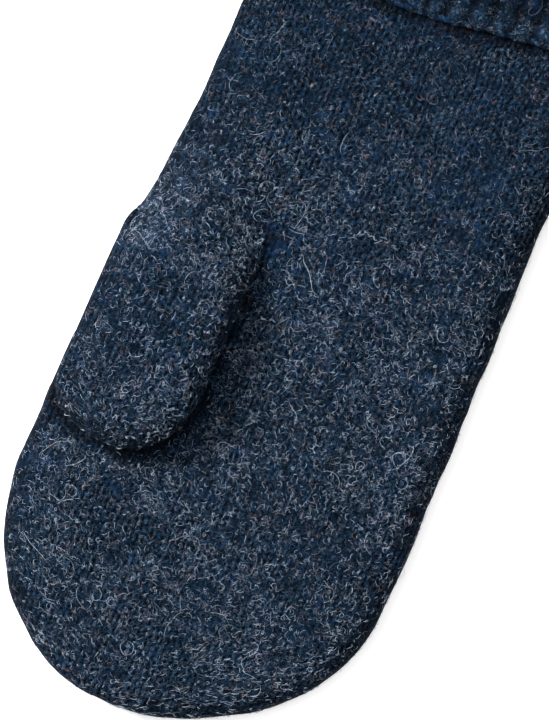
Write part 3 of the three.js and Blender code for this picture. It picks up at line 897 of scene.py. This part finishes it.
def in_slot(skin):
    """The coarse cells of the palm that lie over the thumb's slot."""
    corner = skin.points[::COARSE, ::COARSE]
    x = (corner[:-1, :-1, 0] + corner[1:, 1:, 0]) / 2
    station = (corner[:-1, :-1, 1] + corner[1:, 1:, 1]) / 2 - TIP_Y
    along = (station > SLOT[0] + SLOT_MARGIN_ALONG) & (station < SLOT[1] - SLOT_MARGIN_ALONG)
    left, right = THUMB_BASE_SIDE[0] + SLOT_MARGIN_SIDE[0], THUMB_BASE_SIDE[1] - SLOT_MARGIN_SIDE[1]
    return along & (x > left) & (x < right)


def under_thumb(skin):
    """How far a point of the palm lies under the thumb, from 0 to 1."""
    x, station = skin.x, skin.station
    inside = (x - thumb_edge(0, station)) * (thumb_edge(1, station) - x)
    covered = (station > THUMB_TIP_STATION) & (station < SLOT[1]) & (inside > 0)
    return np.where(covered, smooth((0, 60), inside), 0)


def thumb_valley(skin):
    """1 on the palm close beside the thumb, and 0 away from it."""
    x, station = skin.x, skin.station
    gap = np.full(x.shape, np.inf)
    for place_x, place_y in THUMB_TOP.outline[::6]:
        if place_y < SLOT[1]:
            gap = np.minimum(gap, np.hypot(x - place_x, station - place_y))
    return 1 - smooth(VALLEY_WIDTH, gap)


def hand_pieces(knit):
    """The palm and the back. Gives their skins, and the palm's once more without its stitches."""
    palm = skin_of(PALM, HAND_END, 0.0)
    height, tone, strand = stockinette(palm, PALM_SEED)
    # Painted shade in the crease beside the thumb.
    tone *= 1 - VALLEY_SHADE * thumb_valley(palm)
    pressed = under_thumb(palm) * smooth(PRESSED_END, palm.station)
    height = mix(height + swell(palm), -PRESSED_DEPTH, pressed)
    palm_knit, palm_skin = knit_shell("palm_knit", palm, height, tone, strand, knit, keep=~in_slot(palm))
    back = skin_of(BACK, HAND_END, 0.0)
    height, tone, strand = stockinette(back, BACK_SEED)
    back_knit, back_skin = knit_shell("back_knit", back, height + swell(back, 0.12), tone, strand, knit)
    for piece, node in ((palm_knit, "palm_panel"), (back_knit, "back_panel")):
        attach(piece, "hand")
        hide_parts(node)
    return palm_skin, back_skin, palm


def on_hand(piece):
    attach(piece, "hand")


def on_turn_up(piece):
    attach(piece, "turn_up")


def on_thumb(piece):
    """Bakes a piece's transform into its mesh. A slanting line through both of the thumb's bases and a shift
    square to it are worked out, but nothing uses them, so the piece does not bend.
    """
    start = np.array([THUMB_TIP_X, SLOT[0] + TIP_Y, THUMB_LIE])
    top_base = np.array([THUMB_TIP_X, SLOT[1] + TIP_Y, HINGE_Z])
    line = top_base - start
    towards = np.array([0, -line[2], line[1]])
    towards *= THUMB_BEND / np.linalg.norm(towards)
    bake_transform(piece)


def thumb_pieces(knit, palm):
    """The thumb's two halves, with their stitches in line with the palm's at its base. Gives their skins."""
    centre = sum(THUMB_BASE_SIDE) / 2
    skins = []
    for surface, end, node, seed, share in (
        (THUMB_TOP, SLOT[1] + THUMB_OVERLAP, "thumb_top", PALM_SEED, 1.0),
        (THUMB_UNDER, SLOT[0], "thumb_under", THUMB_UNDER_SEED, 0.5),
    ):
        skin = skin_of(surface, end, centre)
        row = np.searchsorted(palm.points[:, 0, 1], end + TIP_Y) - 1
        skin.across += np.interp(centre, palm.points[row, :, 0], palm.across[row]) - centre
        skin.along += palm.along[row, 0] - skin.along[-1, 0]
        height, tone, strand = stockinette(skin, seed)
        swelling = smooth((THUMB_SWELL_START, SLOT[1]), skin.station)
        height = height * share + swell(skin) * swelling
        piece, outer = knit_shell(f"{node}_knit", skin, height, tone, strand, knit, THUMB_WALL)
        on_thumb(piece)
        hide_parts(f"{node}_panel")
        skins.append(outer)
    return skins


def cuff_section(side, count):
    """Half of the cuff's cross-section, evenly spaced: its points, the way they face, and how far round."""
    angle = np.linspace(0, np.pi / 2, CORNER_PLACES)
    left, right = CUFF_SIDE
    x = [left + EDGE_ROUND * (1 - np.cos(angle)), right - EDGE_ROUND * (1 - np.sin(angle))]
    flat = np.linspace(left + EDGE_ROUND, right - EDGE_ROUND, FLAT_PLACES)[1:-1]
    x = np.concatenate([x[0], flat, x[1]])
    z = np.concatenate([CUFF_HALF * np.sin(angle), np.full(len(flat), CUFF_HALF), CUFF_HALF * np.cos(angle)])
    run = length_along(x, z)
    places = np.linspace(0, run[-1], count + 1)
    x, z = np.interp(places, run, x), np.interp(places, run, z)
    slope_x, slope_z = np.gradient(x), np.gradient(z)
    length = np.hypot(slope_x, slope_z)
    facing = np.stack([-slope_z / length, slope_x / length * side], 1)
    facing[0], facing[-1] = (-1, 0), (1, 0)
    return np.stack([x, z * side], 1), facing, places


def cuff_skin(side, profile, spacing, turned):
    """A skin swept round half of the cuff along a profile of stations and offsets, askew if turned up."""
    profile = np.asarray(profile, float)
    run = length_along(*profile.T)
    rows = COARSE * max(2, round(run[-1] / spacing / COARSE))
    along = np.linspace(0, run[-1], rows + 1)
    station = np.interp(along, run, profile[:, 0])[:, None]
    offset = np.interp(along, run, profile[:, 1])[:, None]
    columns = COARSE * round((CUFF_SIDE[1] - CUFF_SIDE[0] + CUFF_HALF) / spacing / COARSE)
    flat, facing, places = cuff_section(side, columns)
    points = np.empty((rows + 1, columns + 1, 3))
    points[..., 0] = flat[:, 0] + facing[:, 0] * offset
    points[..., 1] = station + TIP_Y + askew(points[..., 0]) * turned * (1 - along / run[-1])[:, None]
    points[..., 2] = CUFF_MIDDLE + flat[:, 1] + facing[:, 1] * offset
    lean = np.gradient(offset[:, 0], along)[:, None], np.gradient(station[:, 0], along)[:, None]
    normals = np.empty_like(points)
    normals[..., 0] = facing[:, 0] * lean[1]
    normals[..., 1] = -lean[0]
    normals[..., 2] = facing[:, 1] * lean[1]
    across = np.repeat(places[None], rows + 1, 0)
    edge = np.minimum(across, places[-1] - across)
    return Skin(points, normals, across, np.repeat(along[:, None], columns + 1, 1), edge, side)


def arc(centre, radius, start, end, steps=9):
    """Stations and offsets round part of a circle. Angles are in degrees."""
    angles = np.radians(np.linspace(start, end, steps))
    return [(centre[0] + radius * np.cos(a), centre[1] + radius * np.sin(a)) for a in angles]


def ribbed_piece(name, side, profile, spacing, material, wall, body, node, seed, relief):
    """One half of the cuff or of its turned-up part."""
    skin = cuff_skin(side, profile, spacing, body == "turn_up")
    height, tone, strand = rib(skin, skin.across[0, -1] / RIBS_PER_SIDE, relief, seed)
    obj, outer = knit_shell(name, skin, height, tone, strand, material, wall)
    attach(obj, body)
    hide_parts(node)
    return outer


def cuff_pieces(knit):
    """The cuff's two halves, each with its turned-up part. Gives their skins, turned-up parts first."""
    raised = TURN_HIGH[2] - CUFF_HIGH[2]
    start, fold = TURN_LOW[1] - TIP_Y, TURN_HIGH[1] - TIP_Y
    hem = arc((start + HEM_RADIUS - HEM_OVERHANG, raised - HEM_RADIUS), HEM_RADIUS, 190, 90)
    lip = arc((fold - FOLD_RADIUS, raised - FOLD_RADIUS), FOLD_RADIUS, 90, -60)
    inside = [(CUFF_LOW[1] - TIP_Y - 1.5, -INNER_RIB_INSET), (CUFF_HIGH[1] - TIP_Y, -INNER_RIB_INSET)]
    skins = []
    for side, word in ((1, "palm"), (-1, "back")):
        turned_up = (f"turn_up_{word}_knit", side, [*hem, *lip], STEP, knit, TURN_UP_WALL)
        skins.append(ribbed_piece(*turned_up, "turn_up", f"turn_up_{word}_rib", TURN_UP_SEED, RIB_RELIEF))
        inner = (f"inner_cuff_{word}_knit", side, inside, 2 * STEP, knit, CUFF_WALL)
        skins.append(ribbed_piece(*inner, "hand", f"cuff_{word}_rib", INNER_RIB_SEED, INNER_RIB_RELIEF))
    return skins


def edge_roll(knit):
    """The cast-on edge: a soft rolled rope of slanting stitches all round the turned-up rib."""
    offset = EDGE_HIGH[2] - CUFF_HIGH[2] - EDGE_RADIUS
    start = EDGE_LOW[1] + EDGE_RADIUS
    flat, facing, places = cuff_section(1, ROLL_PLACES)
    below, below_facing = cuff_section(-1, ROLL_PLACES)[:2]
    ring = np.concatenate([flat[:-1], below[:0:-1]])
    outward = np.concatenate([facing[:-1], below_facing[:0:-1]])
    run = (np.arange(len(ring)) * places[1])[:, None]
    around = np.linspace(0, 2 * np.pi, ROLL_SIDES + 1)[None, :-1]
    lump = 0.5 + 0.5 * np.cos(2 * np.pi * run / places[-1] * RIBS_PER_SIDE + np.pi)
    rope = np.abs(np.sin(np.pi * (run / WALE - around / (2 * np.pi))))
    uneven = 0.1 * noise(run, around * 3, 1.0, EDGE_ROLL_SEED + 2)
    thick = EDGE_RADIUS * (0.62 + 0.3 * lump + 0.12 * rope) + uneven
    wave = layers(run, run * 0, EDGE_ROLL_SEED, EDGE_ROLL_WAVE)
    shift = offset - ROLL_DROP + thick * np.sin(around)
    points = np.empty(thick.shape + (3,))
    points[..., 0] = ring[:, :1] + outward[:, :1] * shift
    points[..., 1] = start + ROLL_FORWARD + askew(ring[:, :1]) + wave * 0.6 + thick * np.cos(around)
    points[..., 2] = CUFF_MIDDLE + ring[:, 1:] + outward[:, 1:] * shift
    near = np.arange(thick.size).reshape(thick.shape)
    ahead = np.roll(near, -1, 0)
    faces = np.stack([near, ahead, np.roll(ahead, -1, 1), np.roll(near, -1, 1)], -1).reshape(-1, 4)
    obj = mesh_object("cast_on_edge_roll", points.reshape(-1, 3), [faces], knit)
    # Painted shade in the grooves between the rope's slanting stitches.
    put_attribute(obj, "tone", 0.5 + 0.35 * rope)
    strand = 0.5 + 0.5 * noise(run, around * 0.4, 4, EDGE_ROLL_SEED + 3)
    put_attribute(obj, "strand", np.clip(strand, 0, 1))
    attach(obj, "turn_up")
    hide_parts("cast_on_edge")


def fibre_density(name, skin, seed):
    """How thick loose fibres stand on a skin: in patches, sparse where the mitten is worn or pressed, and
    thinned beside the thumb and before the cuff's lip as painted shade.
    """
    x, station = skin.x, skin.station
    density = np.clip(layers(x, station, seed, FIBRE_PATCHES, 1), 0.15, None)
    density *= mix(*WRIST_HAIR, smooth(WRIST_HAIR_CHANGE, station)) * skin.hold
    if name in ("palm", "back"):
        density *= mix(EDGE_HAIR, 1, smooth(EDGE_HAIR_WIDTH, skin.edge))
    if name == "palm":
        # Painted shade: fewer pale fibres in the crease beside the thumb.
        density *= (1 - LOST_UNDER_THUMB * under_thumb(skin)) * (1 - THINNED_FOR_VALLEY_SHADE * thumb_valley(skin))
        # Painted shadow: fewer pale fibres on the palm just before the turned-up cuff's lip.
        before_cuff = TURN_LOW[1] - TIP_Y + askew(x) - station
        density *= mix(1, CUFF_HAIR, smooth(CUFF_HAIR_WIDTH, before_cuff))
    if name.startswith("thumb"):
        density *= mix(THUMB_HAIR, 1, smooth(THUMB_HAIR_WIDTH, skin.edge))
    if name == "thumb_under":
        density *= mix(1, BEND_HAIR, smooth(BEND_HAIR_CHANGE, station))
    return density


def fuzz(name, skin, place, materials, seed, fullness):
    """Loose hairs of a skin: short dark down, pale curls, and a few long strays."""
    rng = np.random.RandomState(seed)
    density = fibre_density(name, skin, seed)
    past = 0 if name.startswith("thumb") else FIBRES_PAST
    area = (skin.wide * skin.tall * density).sum() * fullness
    for word, kind in FIBRES.items():
        centres, normals = fibre_paths(skin, int(area * kind["many"]), kind, rng, density, past)
        for number, first in enumerate(range(0, len(centres), FIBRES_EACH[word])):
            part = slice(first, first + FIBRES_EACH[word])
            title = f"{name}_{word}_{number + 1}"
            obj = fibre_object(title, centres[part], normals[part], materials[word], kind["radius"], rng)
            place(obj)


def seams(material, label_material):
    """The CAD's own linking seams and label, with their finished materials."""
    nodes = ("hand_edge_seam", "thumb_base_seam", "cuff_joining_seam", "thumb_edge_seam")
    for node, look in {**dict.fromkeys(nodes, material), "care_label": label_material}.items():
        looks = frame["nodes"][node].data.materials
        looks.clear()
        looks.append(look)


# ---- stage, light and camera

VIEW_LEAN = math.radians(23.6)
VIEW_CENTRE = (-0.65, 102.0)
VIEW_TALL = 190.8
CAMERA_DISTANCE = 1300
SENSOR_WIDTH = 36
SIGHT = 20  # how far the camera sees, in metres
FLOOR_HALF = 3000
FLOOR_DROP = 0.15

# Lights, in metres and watts. The key light's place is to the right, up the picture and above.
WORLD_LIGHT = 0.3
TOP_LIGHT, TOP_HEIGHT, TOP_SIZE = 19, 1.6, 1.6
KEY_LIGHT, KEY_PLACE, KEY_SIZE = 40, (-0.85, 0.5, 0.7), 0.4


def stage():
    corners = [(x * FLOOR_HALF, y * FLOOR_HALF, -FLOOR_DROP) for x, y in ((-1, -1), (1, -1), (1, 1), (-1, 1))]
    floor = mesh_object("floor", corners, [np.array([[0, 1, 2, 3]])], floor_material())


def area_light(name, place, size, power):
    data = bpy.data.lights.new(name, "AREA")
    data.size = size
    data.energy = power
    lamp = bpy.data.objects.new(name, data)
    lamp.location = place
    lamp.rotation_mode = "QUATERNION"
    lamp.rotation_quaternion = (-Vector(place)).to_track_quat("-Z", "Y")
    bpy.context.scene.collection.objects.link(lamp)


def lighting():
    world = bpy.data.worlds.new("studio")
    bpy.context.scene.world = world
    world.use_nodes = True
    background = world.node_tree.nodes["Background"].inputs
    background["Color"].default_value = (1, 1, 1, 1)
    background["Strength"].default_value = WORLD_LIGHT
    area_light("overhead", (0, 0, TOP_HEIGHT), TOP_SIZE, TOP_LIGHT)
    cosine, sine = math.cos(VIEW_LEAN), math.sin(VIEW_LEAN)
    x, y, z = KEY_PLACE
    area_light("key", (x * cosine - y * sine, x * sine + y * cosine, z), KEY_SIZE, KEY_LIGHT)
    bpy.context.scene.view_settings.view_transform = "Standard"


def camera():
    data = bpy.data.cameras.new("camera")
    data.sensor_width = SENSOR_WIDTH
    data.lens = data.sensor_width * CAMERA_DISTANCE / VIEW_TALL
    data.clip_end = SIGHT
    cam = bpy.data.objects.new("camera", data)
    x, station = VIEW_CENTRE
    cam.location = (x * MM, (station + TIP_Y) * MM, CAMERA_DISTANCE * MM + PALM_HIGH[2] * MM)
    cam.rotation_euler = (0, 0, VIEW_LEAN)
    bpy.context.scene.collection.objects.link(cam)
    bpy.context.scene.camera = cam


# ---- build

camera()
stage()
lighting()

knit = wool("wool_knit")
rib_wool = wool("wool_rib")
palm_skin, back_skin, plain_palm = hand_pieces(knit)
top_skin, under_skin = thumb_pieces(knit, plain_palm)
cuff_skins = cuff_pieces(rib_wool)
edge_roll(rib_wool)
hairs = {
    "down": fibre_material("down_hair", NAVY, STEEL),
    "curl": fibre_material("curl_hair", STEEL, PALE, ROSE),
    "stray": fibre_material("stray_hair", STEEL, PALE),
}
for name, skin, place, seed, fullness in (
    ("palm", palm_skin, on_hand, 101, 1.0),
    ("back", back_skin, on_hand, 102, 1.0),
    ("thumb_top", top_skin, on_thumb, 103, 1.0),
    ("thumb_under", under_skin, on_thumb, 106, 0.5),
    ("cuff_palm", cuff_skins[0], on_turn_up, 104, 0.8),
    ("cuff_back", cuff_skins[2], on_turn_up, 105, 0.8),
    ("inner_cuff_palm", cuff_skins[1], on_hand, 107, 0.3),
    ("inner_cuff_back", cuff_skins[3], on_hand, 108, 0.3),
):
    fuzz(name, skin, place, hairs, seed, fullness)
seams(linking_yarn(), label_tape())
